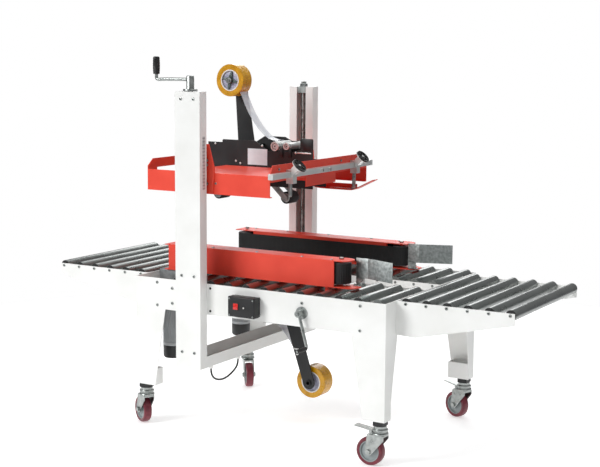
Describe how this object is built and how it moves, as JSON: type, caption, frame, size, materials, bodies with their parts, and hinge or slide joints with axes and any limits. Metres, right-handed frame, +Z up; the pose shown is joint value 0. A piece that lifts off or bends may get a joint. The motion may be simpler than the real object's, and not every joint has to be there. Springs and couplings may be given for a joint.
{
  "type": "carton sealer machine",
  "caption": "Carton sealer: roller bed on casters, two columns lifting a tape head on lead screws, and a second tape head between powered side belts.",
  "frame": {"origin": "on the floor, under the middle of the whole machine's box", "axes": "+X towards the infeed end, against the cartons' travel; -Y towards the operator; +Z up"},
  "size_m": [1.9028, 0.8874, 1.38],
  "materials": {
    "white_powder_coat": "satin powder coat",
    "red_powder_coat": "gloss powder coat",
    "black_powder_coat": "satin powder coat",
    "zinc_steel": "zinc plated",
    "grey_aluminium": "cast and machined",
    "black_plastic": "moulded",
    "black_rubber": "moulded",
    "amber_tape": "wound film",
    "maroon_tread": "moulded polyurethane",
    "red_plastic": "moulded"
  },
  "bodies": {
    "frame": {"bed_panels": "white_powder_coat", "legs": "white_powder_coat", "leg_plugs": "black_plastic", "bed_rollers": "zinc_steel", "table_frames": "white_powder_coat", "table_rollers": "zinc_steel", "frame_bolts": "zinc_steel", "front_column": "white_powder_coat", "rear_column": "white_powder_coat", "screw_bearings": "zinc_steel", "cross_beam": "white_powder_coat", "slide_shafts": "zinc_steel", "control_box": "black_plastic", "lower_tape_head": "black_powder_coat", "hanging_cable": "black_plastic"},
    "head": {"head_frame": "red_powder_coat", "head_carriages": "red_powder_coat", "ski_bar": "zinc_steel", "upper_tape_head": "black_powder_coat"},
    "front_screw": {"front_lead_screw": "zinc_steel", "height_crank": "zinc_steel"},
    "rear_screw": {"rear_lead_screw": "zinc_steel"},
    "upper_roll": {"upper_tape_roll": "amber_tape"},
    "lower_roll": {"lower_tape_roll": "amber_tape"},
    "width_screw": {"width_crank": "zinc_steel"},
    "rocker": {"rocker_switch": "red_plastic"},
    "upper_front_arm": {"upper_front_arm": "zinc_steel"},
    "upper_front_wiper": {"upper_front_wiper": "black_rubber"},
    "upper_rear_arm": {"upper_rear_arm": "zinc_steel"},
    "upper_rear_wiper": {"upper_rear_wiper": "black_rubber"},
    "lower_front_arm": {"lower_front_arm": "zinc_steel"},
    "lower_front_wiper": {"lower_front_wiper": "black_rubber"},
    "lower_rear_arm": {"lower_rear_arm": "zinc_steel"},
    "lower_rear_wiper": {"lower_rear_wiper": "black_rubber"},
    "front_clamp": {"front_ski_clamp": "zinc_steel", "front_ski_rod": "zinc_steel"},
    "front_knob": {"front_clamp_knob": "black_plastic"},
    "front_drive": {"front_drive_housing": "red_powder_coat", "front_drive_belt": "black_rubber", "front_drive_motor": "grey_aluminium"},
    "front_pulley": {"front_drive_pulley": "grey_aluminium"},
    "front_idler": {"front_idler_pulley": "grey_aluminium"},
    "rear_clamp": {"rear_ski_clamp": "zinc_steel", "rear_ski": "red_powder_coat"},
    "rear_knob": {"rear_clamp_knob": "black_plastic"},
    "rear_drive": {"rear_drive_housing": "red_powder_coat", "rear_drive_belt": "black_rubber", "rear_drive_motor": "grey_aluminium"},
    "rear_pulley": {"rear_drive_pulley": "grey_aluminium"},
    "rear_idler": {"rear_idler_pulley": "grey_aluminium"},
    "front_exit_fork": {"front_exit_caster_fork": "zinc_steel"},
    "front_exit_wheel": {"front_exit_caster_wheel": "maroon_tread"},
    "front_infeed_fork": {"front_infeed_caster_fork": "zinc_steel"},
    "front_infeed_wheel": {"front_infeed_caster_wheel": "maroon_tread"},
    "front_infeed_brake": {"front_infeed_brake_pedal": "zinc_steel"},
    "rear_exit_fork": {"rear_exit_caster_fork": "zinc_steel"},
    "rear_exit_wheel": {"rear_exit_caster_wheel": "maroon_tread"},
    "rear_infeed_fork": {"rear_infeed_caster_fork": "zinc_steel"},
    "rear_infeed_wheel": {"rear_infeed_caster_wheel": "maroon_tread"},
    "rear_infeed_brake": {"rear_infeed_brake_pedal": "zinc_steel"}
  },
  "joints": [
    {"name": "head_lift", "type": "slide", "parent": "frame", "child": "head", "axis": [0, 0, 1], "range_m": [-0.16, 0.2]},
    {"name": "front_screw_turn", "type": "hinge", "parent": "frame", "child": "front_screw", "pos_m": [-0.256, -0.37275, 0.7], "axis": [0, 0, 1], "range_deg": [-11521, 14401]},
    {"name": "rear_screw_turn", "type": "hinge", "parent": "frame", "child": "rear_screw", "pos_m": [-0.256, 0.41925, 0.7], "axis": [0, 0, 1], "range_deg": [-11521, 14401]},
    {"name": "upper_roll_turn", "type": "hinge", "parent": "head", "child": "upper_roll", "pos_m": [-0.332, 0.02325, 1.289], "axis": [0, 1, 0], "continuous": true},
    {"name": "lower_roll_turn", "type": "hinge", "parent": "frame", "child": "lower_roll", "pos_m": [0.034, 0.02325, 0.163], "axis": [0, 1, 0], "continuous": true},
    {"name": "upper_front_arm_swing", "type": "hinge", "parent": "head", "child": "upper_front_arm", "pos_m": [-0.19, 0.02325, 0.96], "axis": [0, -1, 0], "range_deg": [0, 20], "stiffness_Nm_per_rad": 20, "springref_deg": -17.19},
    {"name": "upper_front_wiper_turn", "type": "hinge", "parent": "upper_front_arm", "child": "upper_front_wiper", "pos_m": [-0.08, 0.02325, 0.856], "axis": [0, 1, 0], "continuous": true},
    {"name": "upper_rear_arm_swing", "type": "hinge", "parent": "head", "child": "upper_rear_arm", "pos_m": [-0.275, 0.02325, 0.96], "axis": [0, 1, 0], "range_deg": [0, 20]},
    {"name": "upper_rear_wiper_turn", "type": "hinge", "parent": "upper_rear_arm", "child": "upper_rear_wiper", "pos_m": [-0.385, 0.02325, 0.856], "axis": [0, 1, 0], "continuous": true},
    {"name": "lower_front_arm_swing", "type": "hinge", "parent": "frame", "child": "lower_front_arm", "pos_m": [-0.023, 0.02325, 0.492], "axis": [0, 1, 0], "range_deg": [0, 20], "stiffness_Nm_per_rad": 20, "springref_deg": -17.19},
    {"name": "lower_front_wiper_turn", "type": "hinge", "parent": "lower_front_arm", "child": "lower_front_wiper", "pos_m": [0.087, 0.02325, 0.596], "axis": [0, 1, 0], "continuous": true},
    {"name": "lower_rear_arm_swing", "type": "hinge", "parent": "frame", "child": "lower_rear_arm", "pos_m": [-0.108, 0.02325, 0.492], "axis": [0, -1, 0], "range_deg": [0, 20]},
    {"name": "lower_rear_wiper_turn", "type": "hinge", "parent": "lower_rear_arm", "child": "lower_rear_wiper", "pos_m": [-0.218, 0.02325, 0.596], "axis": [0, 1, 0], "continuous": true},
    {"name": "front_ski_slide", "type": "slide", "parent": "head", "child": "front_clamp", "axis": [0, -1, 0], "range_m": [-0.13, 0.08]},
    {"name": "front_knob_turn", "type": "hinge", "parent": "front_clamp", "child": "front_knob", "pos_m": [0.077, -0.21475, 0.976], "axis": [0.7071, 0, 0.7071], "range_deg": [0, 360]},
    {"name": "front_drive_slide", "type": "slide", "parent": "frame", "child": "front_drive", "axis": [0, -1, 0], "range_m": [-0.11, 0.05]},
    {"name": "front_pulley_turn", "type": "hinge", "parent": "front_drive", "child": "front_pulley", "pos_m": [-0.423, -0.21275, 0.63], "axis": [0, 0, 1], "continuous": true},
    {"name": "front_idler_turn", "type": "hinge", "parent": "front_drive", "child": "front_idler", "pos_m": [0.274, -0.21275, 0.634], "axis": [0, 0, 1], "continuous": true},
    {"name": "rear_ski_slide", "type": "slide", "parent": "head", "child": "rear_clamp", "axis": [0, 1, 0], "range_m": [-0.13, 0.08]},
    {"name": "rear_knob_turn", "type": "hinge", "parent": "rear_clamp", "child": "rear_knob", "pos_m": [0.077, 0.26125, 0.976], "axis": [0.7071, 0, 0.7071], "range_deg": [0, 360]},
    {"name": "rear_drive_slide", "type": "slide", "parent": "frame", "child": "rear_drive", "axis": [0, 1, 0], "range_m": [-0.11, 0.05]},
    {"name": "rear_pulley_turn", "type": "hinge", "parent": "rear_drive", "child": "rear_pulley", "pos_m": [-0.423, 0.25925, 0.63], "axis": [0, 0, 1], "continuous": true},
    {"name": "rear_idler_turn", "type": "hinge", "parent": "rear_drive", "child": "rear_idler", "pos_m": [0.274, 0.25925, 0.634], "axis": [0, 0, 1], "continuous": true},
    {"name": "width_crank_turn", "type": "hinge", "parent": "frame", "child": "width_screw", "pos_m": [0.196, -0.36275, 0.505], "axis": [0, 1, 0], "range_deg": [-7921, 3601]},
    {"name": "rocker_tip", "type": "hinge", "parent": "frame", "child": "rocker", "pos_m": [-0.049, -0.39475, 0.5085], "axis": [1, 0, 0], "range_deg": [-8, 8]},
    {"name": "front_exit_swivel", "type": "hinge", "parent": "frame", "child": "front_exit_fork", "pos_m": [-0.495, -0.32775, 0.125], "axis": [0, 0, 1], "continuous": true},
    {"name": "front_exit_wheel_roll", "type": "hinge", "parent": "front_exit_fork", "child": "front_exit_wheel", "pos_m": [-0.52531, -0.31025, 0.05], "axis": [-0.5, -0.866, 0], "continuous": true},
    {"name": "front_infeed_swivel", "type": "hinge", "parent": "frame", "child": "front_infeed_fork", "pos_m": [0.495, -0.32775, 0.125], "axis": [0, 0, 1], "continuous": true},
    {"name": "front_infeed_wheel_roll", "type": "hinge", "parent": "front_infeed_fork", "child": "front_infeed_wheel", "pos_m": [0.46, -0.32775, 0.05], "axis": [0, -1, 0], "continuous": true},
    {"name": "front_infeed_brake_press", "type": "hinge", "parent": "front_infeed_fork", "child": "front_infeed_brake", "pos_m": [0.465, -0.32775, 0.118], "axis": [0, -1, 0], "range_deg": [0, 8], "stiffness_Nm_per_rad": 1, "springref_deg": -5.73},
    {"name": "rear_exit_swivel", "type": "hinge", "parent": "frame", "child": "rear_exit_fork", "pos_m": [-0.495, 0.37425, 0.125], "axis": [0, 0, 1], "continuous": true},
    {"name": "rear_exit_wheel_roll", "type": "hinge", "parent": "rear_exit_fork", "child": "rear_exit_wheel", "pos_m": [-0.4725, 0.34744, 0.05], "axis": [0.766, 0.6428, 0], "continuous": true},
    {"name": "rear_infeed_swivel", "type": "hinge", "parent": "frame", "child": "rear_infeed_fork", "pos_m": [0.495, 0.37425, 0.125], "axis": [0, 0, 1], "continuous": true},
    {"name": "rear_infeed_wheel_roll", "type": "hinge", "parent": "rear_infeed_fork", "child": "rear_infeed_wheel", "pos_m": [0.46211, 0.38622, 0.05], "axis": [-0.342, -0.9397, 0], "continuous": true},
    {"name": "rear_infeed_brake_press", "type": "hinge", "parent": "rear_infeed_fork", "child": "rear_infeed_brake", "pos_m": [0.46681, 0.38451, 0.118], "axis": [-0.342, -0.9397, 0], "range_deg": [0, 8], "stiffness_Nm_per_rad": 1, "springref_deg": -5.73}
  ],
  "couplings": [
    {"joint": "front_screw_turn", "follows": "head_lift", "rad_per_m": 1256.6},
    {"joint": "rear_screw_turn", "follows": "head_lift", "rad_per_m": 1256.6},
    {"joint": "upper_rear_arm_swing", "follows": "upper_front_arm_swing", "ratio": 1},
    {"joint": "lower_rear_arm_swing", "follows": "lower_front_arm_swing", "ratio": 1},
    {"joint": "front_idler_turn", "follows": "front_pulley_turn", "ratio": 1},
    {"joint": "rear_idler_turn", "follows": "rear_pulley_turn", "ratio": 1},
    {"joint": "rear_drive_slide", "follows": "front_drive_slide", "ratio": 1},
    {"joint": "width_crank_turn", "follows": "front_drive_slide", "rad_per_m": 1256.6}
  ]
}
